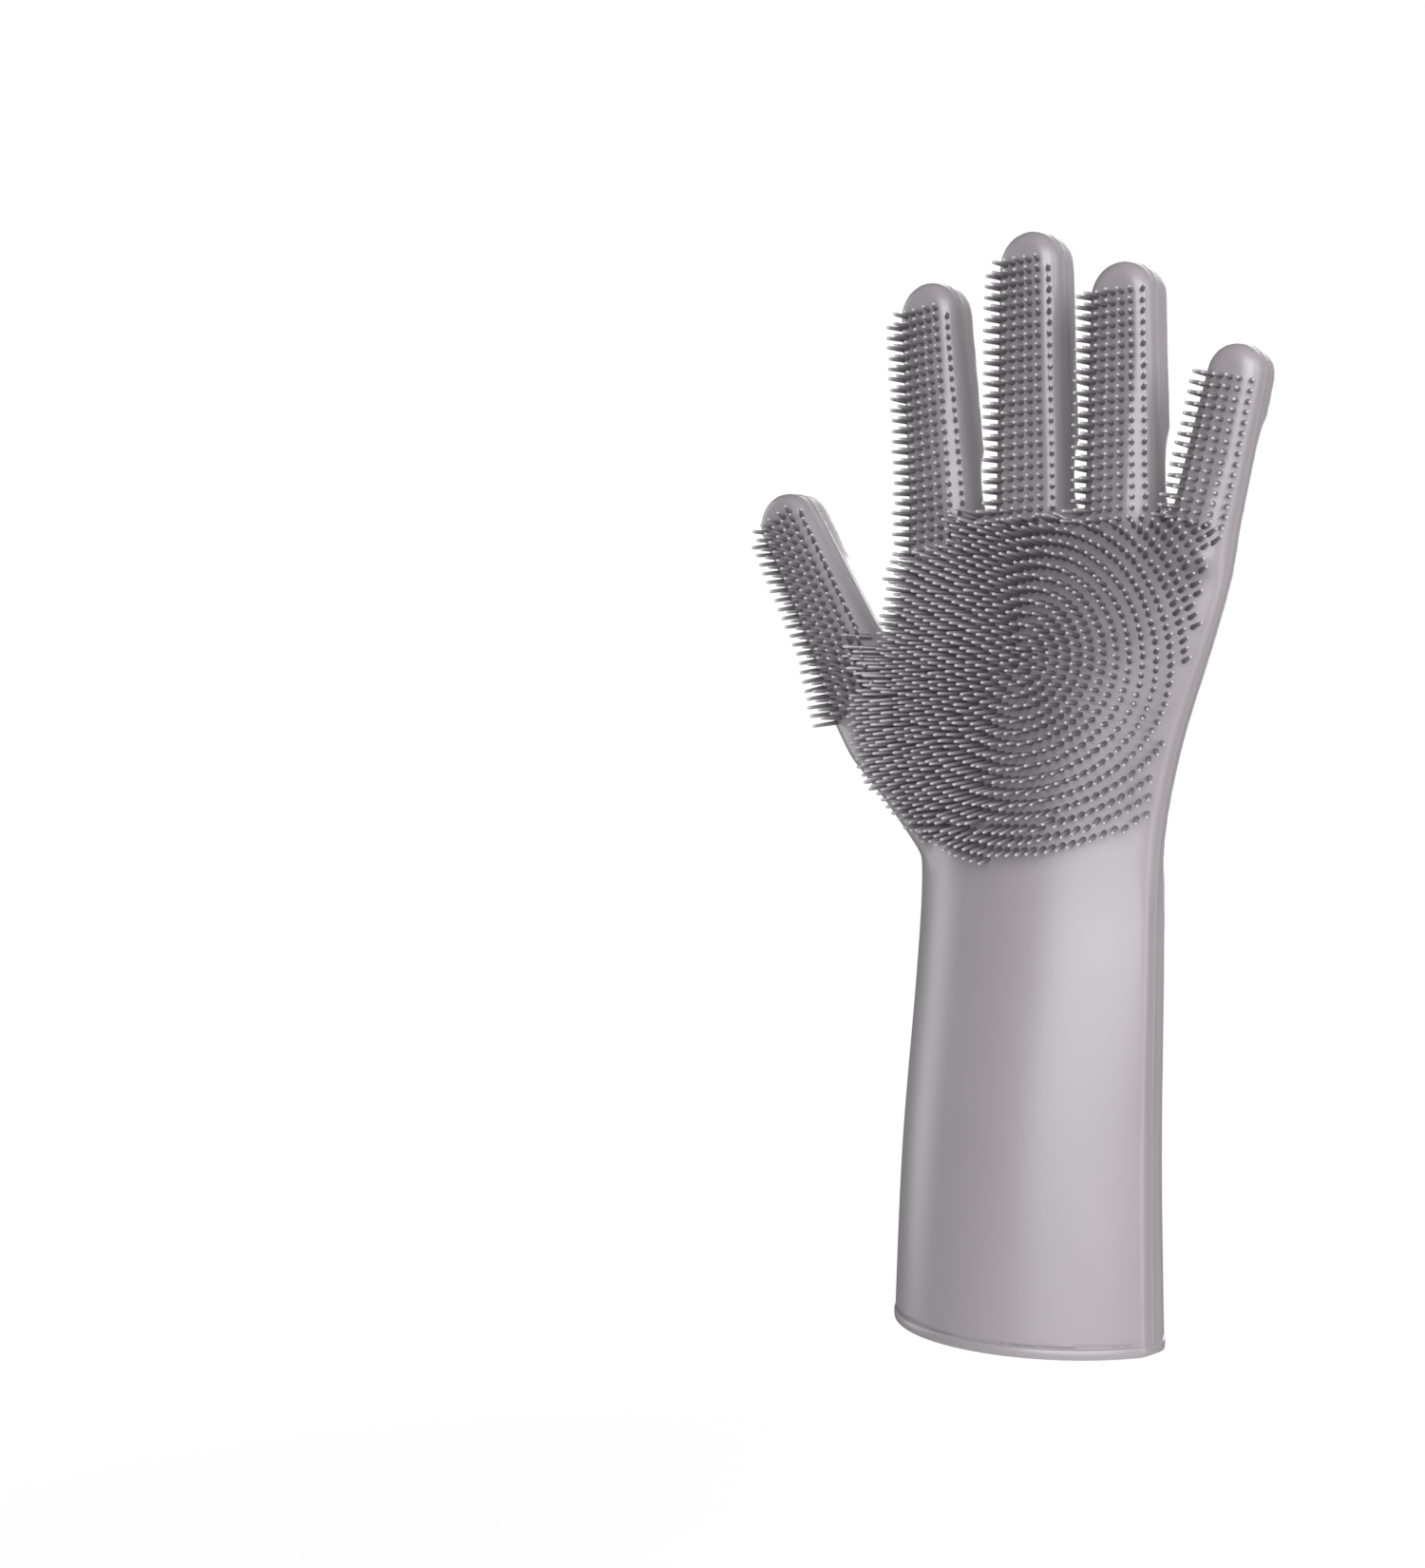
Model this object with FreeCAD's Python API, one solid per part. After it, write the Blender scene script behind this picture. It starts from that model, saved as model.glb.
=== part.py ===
"""Silicone grooming glove for a left hand: one long gauntlet, five fingers, and moulded bristles.

Frame, in millimetres: the origin is the centre of the gauntlet's mouth, +Z runs from the mouth to
the fingertips, -Y is the palm side with the bristles, and +X is the little finger's side. The
mould's parting line lies in the plane Y = 0.

The real glove is one hollow moulding. It is written here as its regions: the stiff ones, the soft
bends between them, the rim, the tab and the bristle fields, one STEP file each.
"""

import FreeCAD
import Part

import math
import os
from collections import namedtuple

import Mesh

Vector = FreeCAD.Vector
Rotation = FreeCAD.Rotation
Placement = FreeCAD.Placement

# ---- Gauntlet and palm ------------------------------------------------------------------------
wall = 1.6  # silicone thickness
gauntlet_length = 112.0  # mouth to the start of the wrist's bend
wrist_bend = 44.0  # length of the soft stretch at the wrist
palm_length = 93.0  # end of the wrist's bend to the webs between the fingers
side_band = 10.0  # height of the flat side wall that carries the parting line
knuckle_slope = 4.5  # degrees by which the webs fall towards the little finger
stub = 2.0  # moulded height of a finger above the webs before its bend starts

wrist_height = gauntlet_length + wrist_bend / 2
palm_start = gauntlet_length + wrist_bend
web_height = palm_start + palm_length

# A cross-section of the sleeve: its height, its middle in X, and how far it reaches each way.
Section = namedtuple("Section", "height centre half_width front back")
mouth = Section(0.0, 0.0, 45.5, 34.0, 34.0)
forearm = Section(gauntlet_length / 2, 1.0, 44.0, 31.5, 31.0)
wrist_low = Section(gauntlet_length, 4.0, 42.0, 27.0, 26.0)
wrist_mid = Section(wrist_height, 5.0, 41.5, 25.5, 24.5)
heel = Section(palm_start, 5.5, 43.0, 25.5, 22.5)
palm_low = Section(palm_start + palm_length / 4, 6.0, 48.0, 24.0, 20.0)
palm_mid = Section(palm_start + palm_length / 2, 8.5, 53.5, 20.5, 17.0)
palm_high = Section(palm_start + palm_length * 0.78, 13.0, 57.0, 15.0, 13.0)
knuckles = Section(web_height, 15.5, 58.0, 10.0, 10.0)
sections = [mouth, forearm, wrist_low, wrist_mid, heel, palm_low, palm_mid, palm_high, knuckles]

# ---- Rim and hanging tab ----------------------------------------------------------------------
rim_height = 3.2  # width of the thick hem round the mouth and the tab
rim_proud = 0.5  # how far the hem stands out of the wall, on each side
tab_drop = 14.0  # mouth to the tab's lowest point
tab_radius = 9.0  # round end of the tab
tab_flank = 45.0  # degrees between the tab's sides and the vertical
tab_shoulder = 8.0  # fillet from the mouth into the tab's sides
hole_radius = 3.0  # hole for a hook
hole_height = 8.2  # hole's centre above the tab's lowest point

# ---- Fingers ----------------------------------------------------------------------------------
# lean is in degrees towards +X. rows are counted from the tip: those of the fingertip, of the
# joint's bend, of the section between the bends, of the knuckle's bend, and those on the palm.
Finger = namedtuple(
    "Finger", "name root_x lean length root_width tip_radius depth rows columns"
)
fingers = [
    Finger("index", -29.5, -4.5, 71.0, 23.5, 10.2, 16.0, (6, 6, 3, 4, 5), 7),
    Finger("middle", 4.5, -0.3, 84.0, 24.0, 10.2, 16.0, (8, 6, 4, 5, 2), 7),
    Finger("ring", 36.5, 0.3, 72.1, 23.5, 10.0, 16.0, (6, 6, 3, 5, 2), 7),
    Finger("little", 65.0, 14.5, 44.0, 19.0, 8.4, 15.0, (3, 3, 2, 4, 3), 6),
    Finger("thumb", -69.0, -30.0, 60.0, 25.5, 10.5, 17.0, (4, 5, 2, 4, 7), 7),
]
thumb_drop = 37.5  # webs to the thumb's root
finger_sink = 16.0  # how deep a finger's shape runs down into the palm
palm_edge = 5.0  # edge radius of a finger on the bristle side
back_edge = 3.6  # edge radius of a finger on the back
edge_flat = 0.1  # least width left flat beside an edge, where a finger is too slim for it
hinge_forward = 2.0  # each finger hinge lies this far in front of the parting plane

# Ball of the thumb: a swelling from the thumb's root down into the heel of the palm.
ball_width = 40.0
ball_depth = 33.0
ball_middle = (-46.0, 66.0)  # X, and the distance below the webs
ball_lean = -24.0
ball_foot_width = 34.0
ball_foot_depth = 36.0
ball_foot = (-19.0, 101.0)  # X, and the distance below the webs
ball_edge = 7.0
ball_root_edge = 5.0  # edge radius where the ball meets the thumb

# ---- Bristles ---------------------------------------------------------------------------------
bristle_root_radius = 0.84
bristle_tip_radius = 0.54
bristle_sink = 0.8  # how far a bristle's root reaches into the wall
finger_bristle = 7.4  # length on the fingers
little_bristle = 6.6
palm_bristle = 10.0  # length in the middle of the palm
rim_bristle = 5.5  # length at the edge of the palm's field
tip_margin = 10.0  # end of a finger to its first row
column_pitch = 2.8  # at the tip
root_spread = 1.2  # how much wider the columns stand at the root than at the tip
finger_set = 10.0  # degrees that a finger's middle column leans towards the little finger
finger_fan = 26.0  # degrees that a finger's outer columns lean outwards from the middle one
ring_pitch = 3.5  # between the palm's rings
round_pitch = 2.75  # along each ring
ring_centre = (14.0, 45.0)  # X, and the distance below the webs
field_centre = (8.0, 49.0)  # X, and the distance below the webs
field_half_width = 62.0  # of the oval that bounds the palm's field below
field_drop = 55.0  # from the field's centre to its lowest bristle
field_margin = 2.2  # between the rings and the fingers' own rows
edge_margin = 1.6  # between the rings and the flat side walls
palm_fan = 50.0  # degrees that the bristles at the palm's sides lean outwards
palm_lift = 9.0  # degrees that they lean towards the fingers at the webs
palm_droop = 16.0  # degrees that they lean towards the mouth at the field's foot
steepest = 0.42  # least share of the surface normal along Y where a bristle stands

MOUTH_REACH = 200.0  # longer than any part of the glove is wide


# ---- Shapes -----------------------------------------------------------------------------------
def sleeve_wire(section, inset, height=None, slope=0.0):
    """The sleeve's outline at a section: two flat sides joined by an arc in front and one behind."""
    z = section.height if height is None else height
    half = section.half_width - inset
    band = side_band / 2 - inset / 2
    left, right = section.centre - half, section.centre + half
    front = Part.Arc(
        Vector(right, -band, z),
        Vector(section.centre, -(section.front - inset), z),
        Vector(left, -band, z),
    )
    back = Part.Arc(
        Vector(left, band, z),
        Vector(section.centre, section.back - inset, z),
        Vector(right, band, z),
    )
    left_side = Part.LineSegment(Vector(left, -band, z), Vector(left, band, z))
    right_side = Part.LineSegment(Vector(right, band, z), Vector(right, -band, z))
    wire = Part.Wire([e.toShape() for e in (front, left_side, back, right_side)])
    wire.rotate(Vector(section.centre, 0, z), Vector(0, 1, 0), slope)
    return wire


def sleeve(inset, top_cut):
    """The sleeve as one solid from the mouth to the webs. top_cut lowers its top."""
    slopes = {palm_mid: knuckle_slope / 4, palm_high: knuckle_slope / 2, knuckles: knuckle_slope}
    wires = []
    for section in sections:
        height = section.height - (top_cut if section is knuckles else 0)
        wires.append(sleeve_wire(section, inset, height, slopes.get(section, 0.0)))
    return Part.makeLoft(wires, True, False)


def prism(section, inset, low, high):
    """The section's outline pulled straight from one height to another."""
    face = Part.Face(sleeve_wire(section, inset, low))
    return face.extrude(Vector(0, 0, high - low))


def slab(low, high):
    """Everything between two heights."""
    return Part.makeBox(
        2 * MOUTH_REACH, 2 * MOUTH_REACH, high - low, Vector(-MOUTH_REACH, -MOUTH_REACH, low)
    )


def knuckle_line(x):
    """Height of the webs at x."""
    return web_height - (x - knuckles.centre) * math.tan(math.radians(knuckle_slope))


def root_of(finger):
    """The point where a finger's axis crosses the plane that its knuckle's bend starts from."""
    if finger.name == "thumb":
        return Vector(finger.root_x, 0, web_height - thumb_drop)
    rise = stub + finger.root_width / 2 * math.tan(math.radians(abs(finger.lean)))
    return Vector(finger.root_x, 0, knuckle_line(finger.root_x) + rise)


def placement_of(finger):
    """Takes the finger's own frame, with +Z along the finger from its root, to the glove's."""
    return Placement(root_of(finger), Rotation(Vector(0, 1, 0), finger.lean))


def side_slope(finger, inset=0.0):
    """Angle between a finger's side and its axis, from the side's touch on the round tip."""
    half = finger.root_width / 2 - inset
    tip = finger.tip_radius - inset
    centre = finger.length - finger.tip_radius
    return math.acos(tip / math.hypot(half, centre)) - math.atan2(centre, half)


def palm_edge_of(finger):
    """The edge radius on a finger's bristle side, limited by the room that the finger has."""
    return min(palm_edge, finger.tip_radius - edge_flat, finger.depth / 2 - edge_flat)


def back_edge_of(finger):
    """The edge radius on a finger's back, limited in the same way."""
    return min(back_edge, finger.tip_radius - edge_flat, finger.depth / 2 - edge_flat)


def finger_blank(finger, inset, low, high):
    """A finger's solid between two distances from its root: a flat bar with a round end."""
    half = finger.root_width / 2 - inset
    tip = finger.tip_radius - inset
    centre = finger.length - finger.tip_radius
    slope = side_slope(finger, inset)
    foot = -finger_sink * 2
    half_foot = half - foot * math.tan(slope)
    y = -(finger.depth / 2 - inset)
    touch = Vector(tip * math.cos(slope), y, centre + tip * math.sin(slope))
    mirrored = Vector(-touch.x, y, touch.z)
    corners = [mirrored, Vector(-half_foot, y, foot), Vector(half_foot, y, foot), touch]
    edges = [Part.LineSegment(a, b).toShape() for a, b in zip(corners, corners[1:])]
    edges.append(Part.Arc(touch, Vector(0, y, centre + tip), mirrored).toShape())
    blank = Part.Face(Part.Wire(edges)).extrude(Vector(0, -2 * y, 0))
    for side, radius in ((y, palm_edge_of(finger)), (-y, back_edge_of(finger))):
        rim = [e for e in blank.Edges if lies_in_plane(e, side) and not is_foot(e, foot)]
        blank = blank.makeFillet(radius - inset, rim)
    cut = Part.makeBox(
        4 * half_foot, 4 * abs(y), high - low, Vector(-2 * half_foot, -2 * abs(y), low)
    )
    blank = blank.common(cut)
    blank.Placement = placement_of(finger).multiply(blank.Placement)
    return blank


def lies_in_plane(edge, y):
    return all(abs(v.Point.y - y) < 1e-6 for v in edge.Vertexes)


def is_foot(edge, foot):
    return all(abs(v.Point.z - foot) < 1e-6 for v in edge.Vertexes)


def rounded_wire(width, depth, radius, x, z, lean):
    """A rounded rectangle across the axis of the ball of the thumb."""
    a, b = width / 2, depth / 2
    bend = radius * (1 - math.sqrt(0.5))
    path = []
    for sx, sy in ((1, 1), (-1, 1), (-1, -1), (1, -1)):
        first = Vector(sx * a, sy * (b - radius), 0)
        second = Vector(sx * (a - radius), sy * b, 0)
        if sx * sy < 0:
            first, second = second, first
        path.append((first, Vector(sx * (a - bend), sy * (b - bend), 0), second))
    edges = []
    for n, (first, middle, second) in enumerate(path):
        edges.append(Part.Arc(first, middle, second).toShape())
        edges.append(Part.LineSegment(second, path[(n + 1) % 4][0]).toShape())
    wire = Part.Wire(edges)
    wire.Placement = Placement(Vector(x, 0, z), Rotation(Vector(0, 1, 0), lean))
    return wire


def ball_of_thumb(inset):
    """The swelling that joins the thumb's root to the heel of the palm."""
    thumb = fingers[-1]
    root = root_of(thumb)
    grow = 2 * inset
    wires = [
        rounded_wire(
            ball_foot_width - grow,
            ball_foot_depth - grow,
            ball_edge - inset,
            ball_foot[0],
            web_height - ball_foot[1],
            0.0,
        ),
        rounded_wire(
            ball_width - grow,
            ball_depth - grow,
            ball_edge - inset,
            ball_middle[0],
            web_height - ball_middle[1],
            ball_lean,
        ),
        rounded_wire(
            thumb.root_width - grow,
            thumb.depth - grow,
            ball_root_edge - inset,
            root.x,
            root.z,
            thumb.lean,
        ),
    ]
    return Part.makeLoft(wires, True, False)


def hand(inset):
    """Everything above the gauntlet as one solid, without the fingers beyond their roots."""
    body = sleeve(inset, inset)
    over = 0.0 if inset == 0 else 1.0  # the hollow runs on through each finger's root
    for finger in fingers:
        low = -finger_sink if finger.name != "thumb" else -finger_sink / 4
        body = body.fuse(finger_blank(finger, inset, low, over))
    return body.fuse(ball_of_thumb(inset)).removeSplitter()


# ---- Rim and tab ------------------------------------------------------------------------------
def lower_edge(offset):
    """The mouth's edge as seen from behind, moved inwards by offset, closed far above."""
    flank = math.radians(tab_flank)
    end = tab_radius - offset
    shoulder = tab_shoulder + offset
    centre_z = tab_radius - tab_drop
    touch = Vector(end * math.cos(flank), 0, centre_z - end * math.sin(flank))
    rise = (offset - touch.z) / math.cos(flank)
    corner = Vector(touch.x + rise * math.sin(flank), 0, offset)
    turn = math.pi / 2 - flank
    reach = shoulder * math.tan(turn / 2)
    leave = Vector(corner.x + reach, 0, offset)
    join = corner - Vector(math.sin(flank), 0, math.cos(flank)) * reach
    hub = Vector(leave.x, 0, offset - shoulder)
    middle = hub + Vector(-math.sin(turn / 2), 0, math.cos(turn / 2)) * shoulder

    def other(p):
        return Vector(-p.x, p.y, p.z)

    far = MOUTH_REACH / 2
    edges = [
        Part.LineSegment(Vector(far, 0, offset), leave),
        Part.Arc(leave, middle, join),
        Part.LineSegment(join, touch),
        Part.Arc(touch, Vector(0, 0, centre_z - end), other(touch)),
        Part.LineSegment(other(touch), other(join)),
        Part.Arc(other(join), other(middle), other(leave)),
        Part.LineSegment(other(leave), Vector(-far, 0, offset)),
        Part.LineSegment(Vector(-far, 0, offset), Vector(-far, 0, far)),
        Part.LineSegment(Vector(-far, 0, far), Vector(far, 0, far)),
        Part.LineSegment(Vector(far, 0, far), Vector(far, 0, offset)),
    ]
    return Part.Wire([e.toShape() for e in edges])


def above_edge(offset):
    """Everything inwards of the mouth's edge: straight in front, and with the tab behind."""
    behind = Part.Face(lower_edge(offset)).extrude(Vector(0, MOUTH_REACH / 2, 0))
    far = MOUTH_REACH / 2
    front = Part.makeBox(2 * far, far, far - offset, Vector(-far, -far, offset))
    return behind.fuse(front)


def mouth_ring(outside, inside):
    """A tube on the mouth's section that reaches from below the tab up to the hem's top."""
    low = -tab_drop - 1.0
    outer = prism(mouth, outside, low, rim_height)
    return outer.cut(prism(mouth, inside, low - 1.0, rim_height + 1.0))


def rim():
    hem = mouth_ring(-rim_proud, wall + rim_proud).common(above_edge(0.0))
    return hem.cut(above_edge(rim_height))


def tab():
    plate = mouth_ring(0.0, wall).common(above_edge(rim_height))
    hole = Part.makeCylinder(
        hole_radius, MOUTH_REACH / 2, Vector(0, 0, hole_height - tab_drop), Vector(0, 1, 0)
    )
    return plate.cut(hole)


# ---- Bristles ---------------------------------------------------------------------------------
def bristle(root, direction, length):
    """A round tapered bristle that stands on root, with its foot sunk into the wall."""
    shoulder = length - bristle_tip_radius
    bulge = bristle_tip_radius * math.sqrt(0.5)
    foot = Vector(0, 0, -bristle_sink)
    side = Vector(bristle_root_radius, 0, -bristle_sink)
    neck = Vector(bristle_tip_radius, 0, shoulder)
    tip = Vector(0, 0, length)
    edges = [
        Part.LineSegment(foot, side),
        Part.LineSegment(side, neck),
        Part.Arc(neck, Vector(bulge, 0, shoulder + bulge), tip),
        Part.LineSegment(tip, foot),
    ]
    profile = Part.Face(Part.Wire([e.toShape() for e in edges]))
    solid = Part.Solid(profile.revolve(Vector(0, 0, 0), Vector(0, 0, 1), 360))
    solid.Placement = Placement(root, Rotation(Vector(0, 0, 1), direction))
    return solid


def row_pitch(finger):
    """Distance between a finger's rows, so that its rows fill it from the tip to the root."""
    return (finger.length - tip_margin) / (sum(finger.rows[:4]) - 0.5)


def zone_ends(finger):
    """Distances from the root where the knuckle's bend, section and joint's bend end."""
    tip_rows, joint_rows, section_rows, _ = finger.rows[:4]
    pitch = row_pitch(finger)
    joint_end = finger.length - tip_margin - (tip_rows - 0.5) * pitch
    section_end = joint_end - joint_rows * pitch
    return section_end - section_rows * pitch, section_end, joint_end


def face_depth(finger, across, along):
    """How far in front of the parting plane a finger's bristle side lies."""
    edge = palm_edge_of(finger)
    half = finger.root_width / 2 - along * math.tan(side_slope(finger))
    past = max(abs(across) - (half - edge), 0.0)
    return finger.depth / 2 - edge + math.sqrt(max(edge**2 - past**2, 0.0))


def finger_rows(finger):
    """Yields (place of the row's zone, root, direction) for each bristle of a finger."""
    pitch = row_pitch(finger)
    knuckle_end, section_end, joint_end = zone_ends(finger)
    frame = placement_of(finger)
    half = (finger.columns - 1) / 2
    centre = finger.length - finger.tip_radius
    for n in range(sum(finger.rows)):
        along = finger.length - tip_margin - n * pitch
        spread = 1 + (root_spread - 1) * min(1.0, 1 - along / finger.length)
        widest = half * column_pitch * spread
        for column in range(finger.columns):
            across = (column - half) * column_pitch * spread
            if along > centre and math.hypot(across, along - centre) > finger.tip_radius - 2.6:
                continue
            zone = (
                "palm"
                if along < 0
                else "knuckle"
                if along < knuckle_end
                else "section"
                if along < section_end
                else "joint"
                if along < joint_end
                else "tip"
            )
            lean = math.radians(finger_set + finger_fan * across / widest)
            place = Vector(across, -face_depth(finger, across, max(along, 0.0)), along)
            direction = Vector(math.sin(lean), -math.cos(lean), 0)
            yield zone, frame.multVec(place), frame.Rotation.multVec(direction)


class Surface:
    """The front of the hand, to stand bristles on."""

    def __init__(self, solid):
        points, triangles = solid.tessellate(0.15)
        self.mesh = Mesh.Mesh([[points[i] for i in t] for t in triangles])
        self.facets = self.mesh.Facets

    def meet(self, x, z):
        """(the front surface's point at x and z, its outward normal), or None past its edge."""
        start = (x, -MOUTH_REACH, z)
        found = self.mesh.nearestFacetOnRay(start, (0, 1, 0))
        if not found:
            return None
        index, point = next(iter(found.items()))
        return Vector(*point), Vector(*self.facets[index].Normal)


def in_finger_rows(x, z):
    """Is the point where a finger's own rows stand?"""
    for finger in fingers:
        local = placement_of(finger).inverse().multVec(Vector(x, 0, z))
        low = -(finger.rows[4] - 0.5) * row_pitch(finger) - field_margin / 2
        wide = (finger.columns - 1) / 2 * column_pitch * root_spread + field_margin
        if local.z > low and abs(local.x) < wide:
            return True
    return False


def palm_direction(x, z):
    """The way a bristle of the palm points: out at the sides, up at the webs, down at the foot."""
    share_x = max(-1.0, min(1.0, (x - field_centre[0]) / field_half_width))
    share_z = (z - web_height + field_centre[1]) / field_drop
    tilt = palm_lift * share_z if share_z > 0 else palm_droop * share_z
    fan, tilt = math.radians(palm_fan * share_x), math.radians(tilt)
    return Vector(math.sin(fan) * math.cos(tilt), -math.cos(fan) * math.cos(tilt), math.sin(tilt))


def palm_rings(surface):
    """Yields (root, direction, length) for each bristle of the palm's rings."""
    centre_x, centre_z = ring_centre[0], web_height - ring_centre[1]
    rings = int(2 * field_half_width / ring_pitch)
    for ring in range(rings + 1):
        radius = ring * ring_pitch
        count = max(1, round(2 * math.pi * radius / round_pitch))
        for n in range(count):
            angle = 2 * math.pi * (n + 0.5 * (ring % 2)) / count
            x = centre_x + radius * math.cos(angle)
            z = centre_z + radius * math.sin(angle)
            across = (x - field_centre[0]) / field_half_width
            down = (z - web_height + field_centre[1]) / field_drop
            oval = math.hypot(across, down) if down < 0 else 0.0
            if oval > 1 or in_finger_rows(x, z):
                continue
            keep_off = bristle_root_radius * 1.3
            if abs(z - palm_start) < keep_off:
                z = palm_start + math.copysign(keep_off, z - palm_start)
            met = surface.meet(x, z)
            if met is None or -met[1].y < steepest or -met[0].y < side_band / 2 + edge_margin:
                continue
            shorter = max(0.0, (oval - 0.72) / 0.28)
            length = palm_bristle - (palm_bristle - rim_bristle) * shorter**2
            yield met[0], palm_direction(x, z), length


# ---- Nodes ------------------------------------------------------------------------------------
def zone_solid(finger, zone):
    """The finger's tube in one zone."""
    knuckle_end, section_end, joint_end = zone_ends(finger)
    low, high = {
        "knuckle": (0.0, knuckle_end),
        "section": (knuckle_end, section_end),
        "joint": (section_end, joint_end),
        "tip": (joint_end, finger.length + 1.0),
    }[zone]
    outer = finger_blank(finger, 0.0, low, high)
    over = 1.0
    inner = finger_blank(finger, wall, low - over, high + over)
    return outer.cut(inner)


NODE_OF_ZONE = {
    "knuckle": "knuckle_bend",
    "section": "mid_section",
    "joint": "joint_bend",
    "tip": "fingertip",
}


def bristle_nodes(surface):
    """{node: its bristles}, for the palm, the heel and every zone of every finger."""
    nodes = {"palm_bristles": [], "heel_bristles": []}
    for finger in fingers:
        length = little_bristle if finger.name == "little" else finger_bristle
        for zone, root, direction in finger_rows(finger):
            if zone == "palm":
                met = surface.meet(root.x, root.z)
                if met is None or -met[1].y < steepest:
                    continue
                nodes["palm_bristles"].append(bristle(met[0], direction, length))
            else:
                name = f"{finger.name}_{zone}_bristles"
                nodes.setdefault(name, []).append(bristle(root, direction, length))
    for root, direction, length in palm_rings(surface):
        name = "palm_bristles" if root.z > palm_start else "heel_bristles"
        nodes[name].append(bristle(root, direction, length))
    return nodes


def build():
    """{node: shape} for the whole glove."""
    outside = hand(0.0)
    shell = outside.cut(hand(wall))
    tube = shell.common(slab(rim_height, gauntlet_length))
    nodes = {
        "gauntlet": tube,
        "rim": rim(),
        "hanging_tab": tab(),
        "wrist_bend": shell.common(slab(gauntlet_length, palm_start)),
        "hand": shell.common(slab(palm_start, 2 * web_height)),
    }
    for finger in fingers:
        for zone, name in NODE_OF_ZONE.items():
            nodes[f"{finger.name}_{name}"] = zone_solid(finger, zone)
    for name, bristles in bristle_nodes(Surface(outside)).items():
        nodes[name] = Part.makeCompound(bristles)
    return nodes


def main():
    os.makedirs("parts", exist_ok=True)
    for name, shape in build().items():
        if not shape.isValid() or not shape.Solids:
            raise ValueError(f"{name} isn't a valid solid")
        print(f"{name}: {len(shape.Solids)} solids, {shape.Volume / 1000:.2f} cm3")
        shape.exportStep(f"parts/{name}.step")


if __name__ == "__main__":
    main()
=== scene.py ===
# %% [markdown]
# # A silicone grooming glove
#
# The real glove is one hollow piece of soft silicone for the left hand, cast in a mould of two
# halves. It has a long gauntlet with a thick rim and a hanging tab, five flat-sided digits, and
# some seventeen hundred bristles on the palm side. The model is built in the order in which a
# mould maker would think of it: the outside form, the line where the mould parts, the hollow
# wall, the rim and tab, and the bristles last. Lengths are in metres.

import math
import random

import bmesh
import bpy
from mathutils import Matrix, Vector, noise
from mathutils.bvhtree import BVHTree


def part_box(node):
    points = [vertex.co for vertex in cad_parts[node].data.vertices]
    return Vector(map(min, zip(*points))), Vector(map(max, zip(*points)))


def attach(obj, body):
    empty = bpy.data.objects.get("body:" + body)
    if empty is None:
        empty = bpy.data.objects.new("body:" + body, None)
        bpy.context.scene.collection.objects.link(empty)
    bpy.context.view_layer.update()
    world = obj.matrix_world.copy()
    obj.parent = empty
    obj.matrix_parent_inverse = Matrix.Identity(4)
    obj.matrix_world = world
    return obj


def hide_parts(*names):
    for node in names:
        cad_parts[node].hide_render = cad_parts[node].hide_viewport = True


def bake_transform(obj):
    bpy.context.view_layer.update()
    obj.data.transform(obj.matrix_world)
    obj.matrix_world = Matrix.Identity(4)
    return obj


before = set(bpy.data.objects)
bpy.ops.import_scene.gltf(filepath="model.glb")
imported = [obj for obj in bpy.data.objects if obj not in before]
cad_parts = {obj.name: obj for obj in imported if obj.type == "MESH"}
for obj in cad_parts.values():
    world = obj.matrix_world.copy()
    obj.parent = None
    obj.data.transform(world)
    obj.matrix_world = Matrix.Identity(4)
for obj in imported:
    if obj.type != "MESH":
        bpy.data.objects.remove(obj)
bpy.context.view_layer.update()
MM = 0.001


# %% [markdown]
# Blender's operators act on whatever is selected, and the CAD nodes come in selected. These
# helpers keep each step to one object: they deselect everything, pick the one to work on, add a
# modifier and apply it at once so that the finished piece is plain mesh, join pieces, and draw a
# tube through rings of points.

# %% Helpers for one object at a time
def nothing_selected():
    for other in bpy.context.selected_objects:
        other.select_set(False)


def only(obj):
    """Makes obj the one selected, active object."""
    nothing_selected()
    obj.select_set(True)
    bpy.context.view_layer.objects.active = obj
    return obj


def apply_modifier(obj, kind, **settings):
    """Adds a modifier, sets it up and applies it."""
    only(obj)
    modifier = obj.modifiers.new(kind.title(), kind)
    for name, value in settings.items():
        setattr(modifier, name, value)
    bpy.ops.object.modifier_apply(modifier=modifier.name)
    return obj


def join(objects, name):
    """Joins the objects into one."""
    only(objects[0])
    for obj in objects:
        obj.select_set(True)
    bpy.ops.object.join()
    joined = bpy.context.view_layer.objects.active
    joined.name = name
    return joined


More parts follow.
